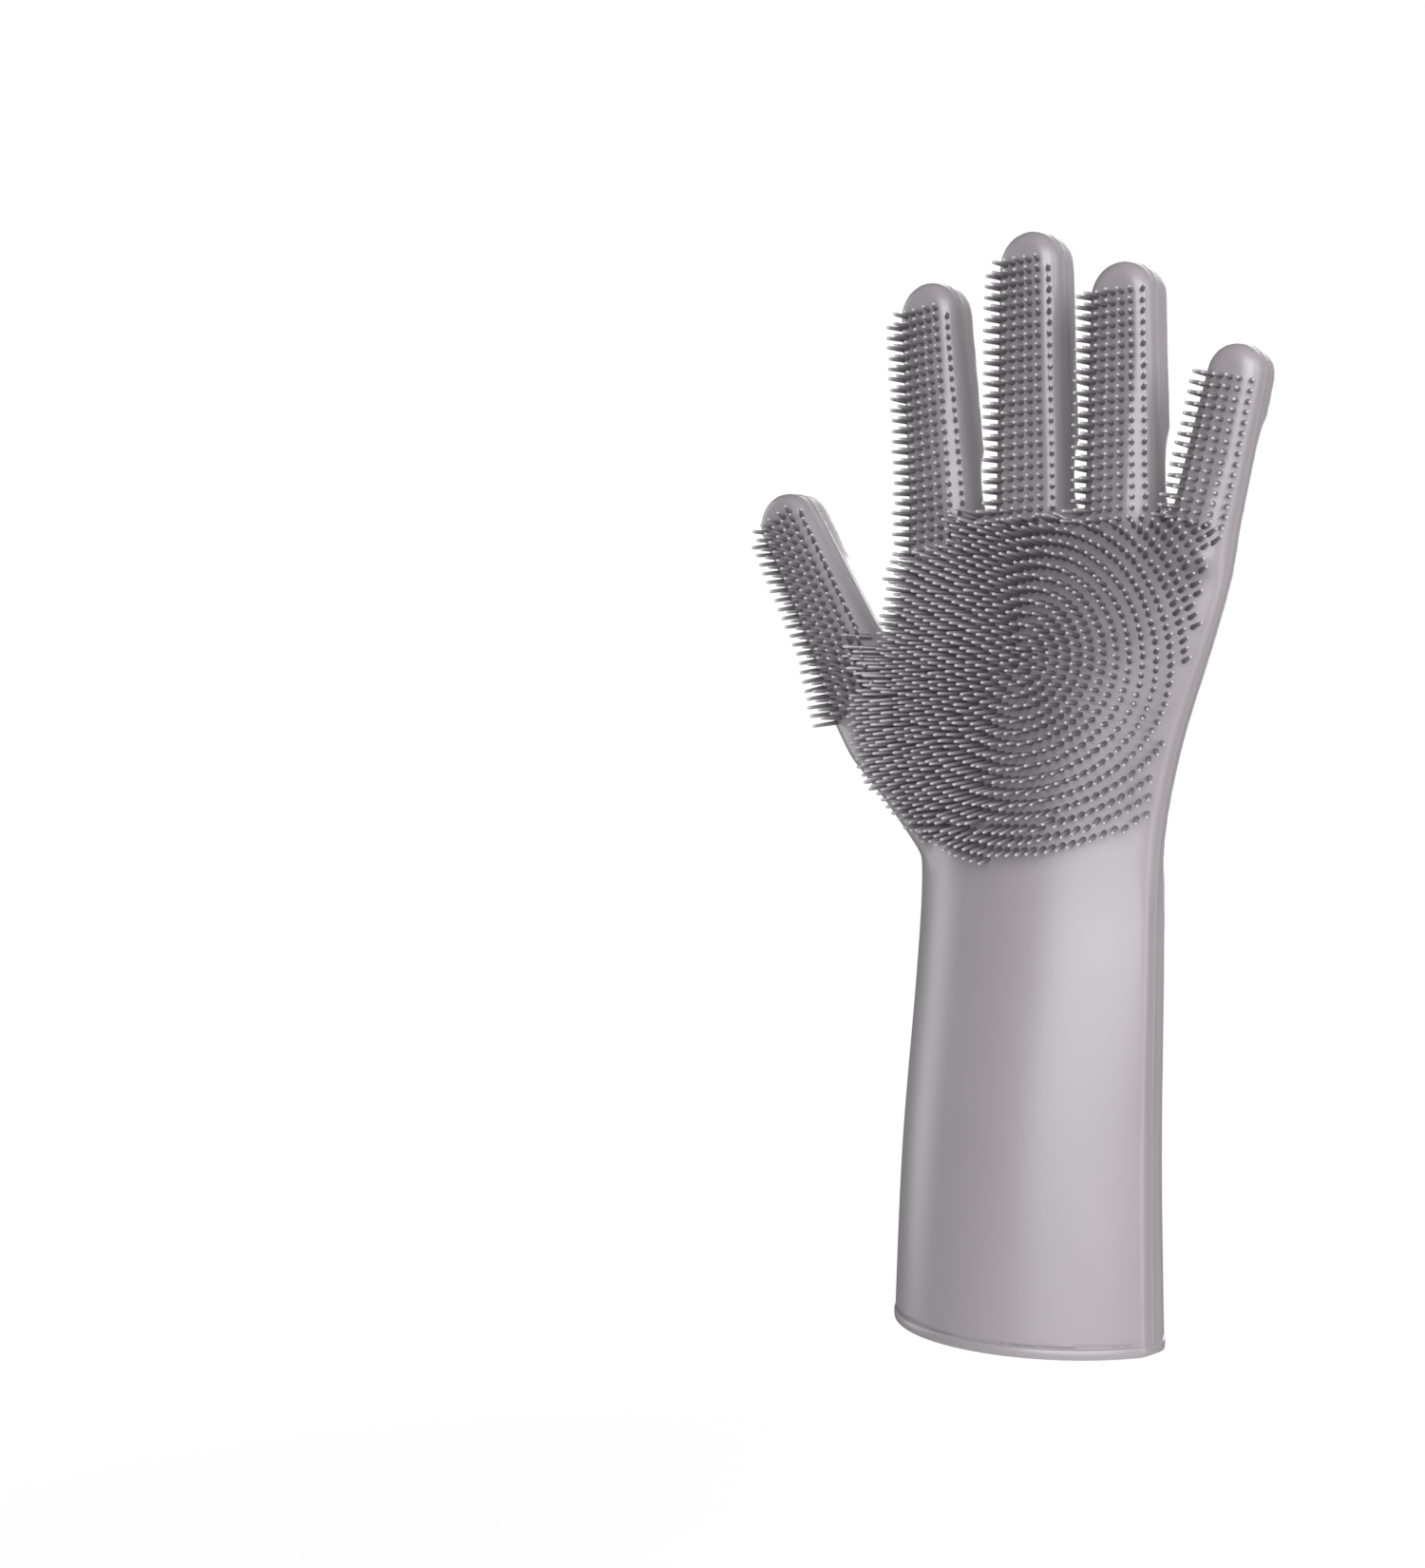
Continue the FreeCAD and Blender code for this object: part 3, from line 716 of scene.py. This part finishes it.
# %% One bristle
def model_bristle():
    """A bristle 1 long, standing on the origin: a cone, cut into rings, with its tip rounded."""
    nothing_selected()
    bpy.ops.mesh.primitive_cone_add(vertices=7, radius1=1.0, radius2=0.66, depth=0.9,
                                    end_fill_type="NOTHING", location=(0, 0, 0.45))
    obj = bpy.context.object
    obj.name = "bristle"
    bpy.ops.object.transform_apply(location=True, rotation=False, scale=False)
    bpy.ops.object.mode_set(mode="EDIT")
    bpy.ops.mesh.select_mode(type="VERT")
    for height in (0.3, 0.6):
        bpy.ops.mesh.select_all(action="SELECT")
        bpy.ops.mesh.bisect(plane_co=(0, 0, height), plane_no=(0, 0, 1))
    bpy.ops.mesh.select_all(action="DESELECT")
    bm = bmesh.from_edit_mesh(obj.data)
    for vertex in bm.verts:
        vertex.select = vertex.co.z > 0.89
    bm.select_flush_mode()
    bmesh.update_edit_mesh(obj.data)
    bpy.ops.mesh.extrude_region_move(TRANSFORM_OT_translate={"value": (0, 0, 0.07)})
    bpy.ops.transform.resize(value=(0.78, 0.78, 1.0))
    bpy.ops.mesh.extrude_region_move(TRANSFORM_OT_translate={"value": (0, 0, 0.03)})
    bpy.ops.mesh.merge(type="CENTER")
    bpy.ops.object.mode_set(mode="OBJECT")
    return obj


pattern = model_bristle()
SHAPE = [tuple(v.co) for v in pattern.data.vertices]
FACES = [tuple(p.vertices) for p in pattern.data.polygons]
bpy.data.objects.remove(pattern)
print("one bristle:", len(FACES), "faces")


# %% Where the bristles stand
def bristles_of(node):
    """(root, tip) of each bristle of a CAD node."""
    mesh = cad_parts[node].data.copy()
    bm = bmesh.new()
    bm.from_mesh(mesh)
    bmesh.ops.remove_doubles(bm, verts=bm.verts, dist=0.003 * MM)
    seen, found = set(), []
    for start in bm.verts:
        if start in seen:
            continue
        island, queue = [], [start]
        seen.add(start)
        while queue:
            vertex = queue.pop()
            island.append(vertex.co.copy())
            for edge in vertex.link_edges:
                other = edge.other_vert(vertex)
                if other not in seen:
                    seen.add(other)
                    queue.append(other)
        # every bristle points to the palm side, so its foot is the end with the larger Y
        heel = max(island, key=lambda p: p.y)
        foot = [p for p in island if (p - heel).length < 2.2 * MM]
        root = sum(foot, Vector()) / len(foot)
        found.append((root, max(island, key=lambda p: (p - root).length)))
    bm.free()
    bpy.data.meshes.remove(mesh)
    return found


BRISTLE_ROOT = 0.82 * MM
DRIFT = 0.07
DRIFT_SCALE = 32.0
BRISTLE_SEED = 11
rng = random.Random(BRISTLE_SEED)
# without this, the noise starts from the time of day and the drift differs at each run
noise.seed_set(BRISTLE_SEED)


def plant(node, name, bend=0.022, lean=0.02, share=1.0):
    """One object with a modelled bristle at each of the node's places. share is how much of the
    frame's length it is drawn at."""
    points, faces, heights = [], [], []
    for root, tip in bristles_of(node):
        axis = (tip - root).normalized()
        hit = whole_tree.ray_cast(tip, -axis, 0.02)
        foot = hit[0] if hit[0] is not None else root + axis * 0.8 * MM
        foot = foot - axis * 0.5 * MM
        drift = noise.noise_vector(foot * DRIFT_SCALE) * DRIFT
        axis = (axis + drift + Vector([rng.gauss(0, lean) for _ in range(3)])).normalized()
        length = (tip - foot).length * rng.uniform(0.95, 1.02) * share
        turn = axis.to_track_quat("Z", "Y").to_matrix()
        swing = rng.gauss(0, bend) * length
        around = rng.uniform(0, 2 * math.pi)
        sway = Vector((math.cos(around), math.sin(around), 0)) * swing
        twist = Matrix.Rotation(rng.uniform(0, 1), 3, "Z")
        radius = BRISTLE_ROOT * rng.uniform(0.94, 1.05)
        first = len(points)
        for x, y, z in SHAPE:
            local = twist @ Vector((x * radius, y * radius, 0)) + sway * z * z
            local.z = z * length
            points.append(foot + turn @ local)
            heights.append(z)
        faces += [tuple(first + k for k in face) for face in FACES]
    mesh = bpy.data.meshes.new(name)
    mesh.from_pydata(points, [], faces)
    along = mesh.attributes.new("along", "FLOAT", "POINT")
    along.data.foreach_set("value", heights)
    obj = bpy.data.objects.new(name, mesh)
    bpy.context.collection.objects.link(obj)
    only(obj)
    bpy.ops.object.shade_smooth()
    return obj


fields = ["palm_bristles", "heel_bristles"]
fields += [f"{name}_{zone}_bristles" for name in FINGERS
           for zone in ("knuckle", "section", "joint", "tip")]
DIGIT_SHARE = 0.86
bristles = {}
for node in fields:
    on_palm = node in ("palm_bristles", "heel_bristles")
    bristles[node] = plant(node, f"{node}_soft", share=1.0 if on_palm else DIGIT_SHARE)
print("bristles:", sum(len(o.data.polygons) for o in bristles.values()) // len(FACES))


# %% [markdown]
# Silicone from a blasted mould is satin, not glossy: light goes a little way in, and the surface
# has a very fine grain. The bristles are the same silicone, but thin, so their tips let light
# through and look paler, and their feet stand in each other's shade. Both are painted into the
# bristles' colour: their paler tone is painted light, and a ramp along each bristle paints shade
# towards its foot.

# %% The silicone
SILICONE = (0.262, 0.240, 0.260, 1.0)
SILICONE_DARK = (0.248, 0.227, 0.247, 1.0)
# painted light: the bristles' tones are paler than the wall's, standing for the light that comes
# through their thin tips
PAINTED_LIT_BRISTLE = (0.395, 0.368, 0.395, 1.0)
PAINTED_LIT_BRISTLE_DARK = (0.36, 0.335, 0.361, 1.0)


def silicone(name, on_bristles=False):
    material = bpy.data.materials.new(name)
    material.use_nodes = True
    nodes, links = material.node_tree.nodes, material.node_tree.links
    shader = nodes["Principled BSDF"]
    shader.inputs["IOR"].default_value = 1.45
    shader.inputs["Specular IOR Level"].default_value = 1.0
    place = nodes.new("ShaderNodeTexCoord")
    cloud = nodes.new("ShaderNodeTexNoise")
    cloud.inputs["Scale"].default_value = 22.0
    cloud.inputs["Detail"].default_value = 3.0
    links.new(place.outputs["Object"], cloud.inputs["Vector"])
    tone = nodes.new("ShaderNodeMix")
    tone.data_type = "RGBA"
    tone.inputs["A"].default_value = PAINTED_LIT_BRISTLE_DARK if on_bristles else SILICONE_DARK
    tone.inputs["B"].default_value = PAINTED_LIT_BRISTLE if on_bristles else SILICONE
    spread = nodes.new("ShaderNodeMapRange")
    spread.inputs["From Min"].default_value = 0.3
    spread.inputs["From Max"].default_value = 0.7
    links.new(cloud.outputs["Fac"], spread.inputs["Value"])
    links.new(spread.outputs["Result"], tone.inputs["Factor"])
    colour = tone.outputs["Result"]
    if on_bristles:
        # painted shade: the ramp darkens each bristle towards its foot, where its neighbours shade
        # it, and leaves the tip at the full paler tone
        along = nodes.new("ShaderNodeAttribute")
        along.attribute_name = "along"
        ramp = nodes.new("ShaderNodeValToRGB")
        ramp.color_ramp.elements[0].position = 0.08
        ramp.color_ramp.elements[0].color = (0.24, 0.24, 0.24, 1)
        ramp.color_ramp.elements[1].position = 0.96
        ramp.color_ramp.elements[1].color = (1.0, 1.0, 1.0, 1)
        middle = ramp.color_ramp.elements.new(0.5)
        middle.color = (0.46, 0.46, 0.46, 1)
        neck = ramp.color_ramp.elements.new(0.86)
        neck.color = (0.66, 0.66, 0.66, 1)
        shade = nodes.new("ShaderNodeMix")
        shade.data_type = "RGBA"
        shade.blend_type = "MULTIPLY"
        shade.inputs["Factor"].default_value = 1.0
        links.new(along.outputs["Fac"], ramp.inputs["Fac"])
        links.new(colour, shade.inputs["A"])
        links.new(ramp.outputs["Color"], shade.inputs["B"])
        colour = shade.outputs["Result"]
    links.new(colour, shader.inputs["Base Color"])
    gloss = nodes.new("ShaderNodeMapRange")
    gloss.inputs["To Min"].default_value = 0.33
    gloss.inputs["To Max"].default_value = 0.41
    links.new(cloud.outputs["Fac"], gloss.inputs["Value"])
    links.new(gloss.outputs["Result"], shader.inputs["Roughness"])
    grain = nodes.new("ShaderNodeTexNoise")
    grain.inputs["Scale"].default_value = 1400.0
    grain.inputs["Detail"].default_value = 2.0
    links.new(place.outputs["Object"], grain.inputs["Vector"])
    bumps = nodes.new("ShaderNodeBump")
    bumps.inputs["Strength"].default_value = 0.12
    bumps.inputs["Distance"].default_value = 0.05 * MM
    links.new(grain.outputs["Fac"], bumps.inputs["Height"])
    links.new(bumps.outputs["Normal"], shader.inputs["Normal"])
    return material


skin_silicone = silicone("silicone_wall")
bristle_silicone = silicone("silicone_bristle", on_bristles=True)
for obj in [*skins.values(), rim, tab]:
    obj.data.materials.clear()
    obj.data.materials.append(skin_silicone)
for obj in bristles.values():
    obj.data.materials.append(bristle_silicone)
print("materials:", skin_silicone.name, bristle_silicone.name)


# %% [markdown]
# Every piece goes with its body. The gauntlet, the palm and the stiff parts of the fingers ride;
# the wrist, the knuckles and the finger joints are where real silicone bends, and those pieces,
# with their bristles, are given no body here: their place is only baked into their meshes.


bpy.data.objects.remove(whole)
for region, obj in skins.items():
    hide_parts(region)
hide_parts("rim")
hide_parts("hanging_tab")
for node, obj in bristles.items():
    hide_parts(node)
for obj in (skins["gauntlet"], rim, tab):
    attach(obj, "gauntlet_body")
for obj in (skins["wrist_bend"], bristles["heel_bristles"]):
    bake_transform(obj)
for obj in (skins["hand"], bristles["palm_bristles"]):
    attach(obj, "hand_body")
for name in FINGERS:
    section, tip = f"{name}_section_body", f"{name}_tip_body"
    for obj in (skins[f"{name}_knuckle_bend"], bristles[f"{name}_knuckle_bristles"]):
        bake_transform(obj)
    for obj in (skins[f"{name}_mid_section"], bristles[f"{name}_section_bristles"]):
        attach(obj, section)
    for obj in (skins[f"{name}_joint_bend"], bristles[f"{name}_joint_bristles"]):
        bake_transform(obj)
    for obj in (skins[f"{name}_fingertip"], bristles[f"{name}_tip_bristles"]):
        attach(obj, tip)


# %% [markdown]
# The glove hangs by itself in a white studio, over a round pale floor. The light is what shows the
# satin of silicone: a wide soft box in front, a little to the right, makes a broad pale field on
# the gauntlet, a tall strip at the right draws a thin line along every edge, a panel behind the
# left side rims it, and a box behind lights the back of the hand. The room itself is dim, so the
# surfaces that face away stay grey. Only the camera sees the walls white.

# %% Studio
GLOVE_AXIS = Vector((0, 0, 0.165))
AZIMUTH = math.radians(35)
toward = Vector((math.sin(AZIMUTH), -math.cos(AZIMUTH), 0))
right = Vector((math.cos(AZIMUTH), math.sin(AZIMUTH), 0))
up = Vector((0, 0, 1))
FLOOR_HEIGHT = -0.30
ROOM_LIGHT = 0.18


def pale_floor():
    """A round floor that fades into the white of the room at its edge."""
    nothing_selected()
    bpy.ops.mesh.primitive_circle_add(vertices=96, radius=1.1, fill_type="NGON",
                                      location=(0, 0, FLOOR_HEIGHT))
    floor = bpy.context.object
    floor.name = "floor"
    material = bpy.data.materials.new("floor_paper")
    material.use_nodes = True
    nodes, links = material.node_tree.nodes, material.node_tree.links
    shader = nodes["Principled BSDF"]
    shader.inputs["Base Color"].default_value = (0.93, 0.93, 0.93, 1)
    shader.inputs["Roughness"].default_value = 0.9
    place = nodes.new("ShaderNodeTexCoord")
    fade = nodes.new("ShaderNodeTexGradient")
    fade.gradient_type = "SPHERICAL"
    links.new(place.outputs["Object"], fade.inputs["Vector"])
    links.new(fade.outputs["Fac"], shader.inputs["Alpha"])
    floor.data.materials.append(material)


pale_floor()


def soft_light(name, angle, distance, height, width, tall, radiance):
    """A soft box at an angle to the right of the camera, turned to the glove. Its power follows
    from how bright its face should be."""
    data = bpy.data.lights.new(name, "AREA")
    data.shape = "RECTANGLE"
    data.size, data.size_y = width, tall
    data.energy = radiance * math.pi * width * tall
    lamp = bpy.data.objects.new(name, data)
    bpy.context.collection.objects.link(lamp)
    turn = math.radians(angle)
    lamp.location = GLOVE_AXIS + (toward * math.cos(turn) + right * math.sin(turn)) * distance
    lamp.location += up * height
    lamp.rotation_euler = (GLOVE_AXIS - lamp.location).to_track_quat("-Z", "Y").to_euler()
    print(name, "light:", round(data.energy, 1), "W")


soft_light("front_box", 10, 1.2, 0.35, 1.8, 1.2, 4.7)
soft_light("right_strip", 76, 1.0, 0.1, 0.12, 1.2, 7.0)
soft_light("left_rim", -118, 1.2, 0.2, 0.5, 1.2, 2.6)
soft_light("rear_box", 160, 1.3, 0.4, 0.9, 1.1, 4.6)

world = bpy.data.worlds.new("studio")
bpy.context.scene.world = world
world.use_nodes = True
nodes, links = world.node_tree.nodes, world.node_tree.links
room = nodes["Background"]
room.inputs["Color"].default_value = (1.0, 1.0, 1.0, 1)
room.inputs["Strength"].default_value = ROOM_LIGHT
walls = nodes.new("ShaderNodeBackground")
walls.inputs["Color"].default_value = (1.0, 1.0, 1.0, 1)
walls.inputs["Strength"].default_value = 1.0
seen = nodes.new("ShaderNodeLightPath")
either = nodes.new("ShaderNodeMixShader")
links.new(seen.outputs["Is Camera Ray"], either.inputs["Fac"])
links.new(room.outputs["Background"], either.inputs[1])
links.new(walls.outputs["Background"], either.inputs[2])
links.new(either.outputs["Shader"], nodes["World Output"].inputs["Surface"])

# %% Camera
DISTANCE = 0.677
CAMERA_RISE = 2.4 * MM
camera_data = bpy.data.cameras.new("camera")
camera_data.lens = 50.0
camera_data.sensor_width = 36.0
camera = bpy.data.objects.new("camera", camera_data)
bpy.context.collection.objects.link(camera)
camera.location = GLOVE_AXIS + toward * DISTANCE + up * CAMERA_RISE
CAMERA_YAW = math.radians(8.19)
look = (-toward * math.cos(CAMERA_YAW) - right * math.sin(CAMERA_YAW)).normalized()
camera.rotation_euler = look.to_track_quat("-Z", "Y").to_euler()
bpy.context.scene.camera = camera
bpy.context.scene.view_settings.view_transform = "Standard"
print("camera at", [round(c, 3) for c in camera.location])
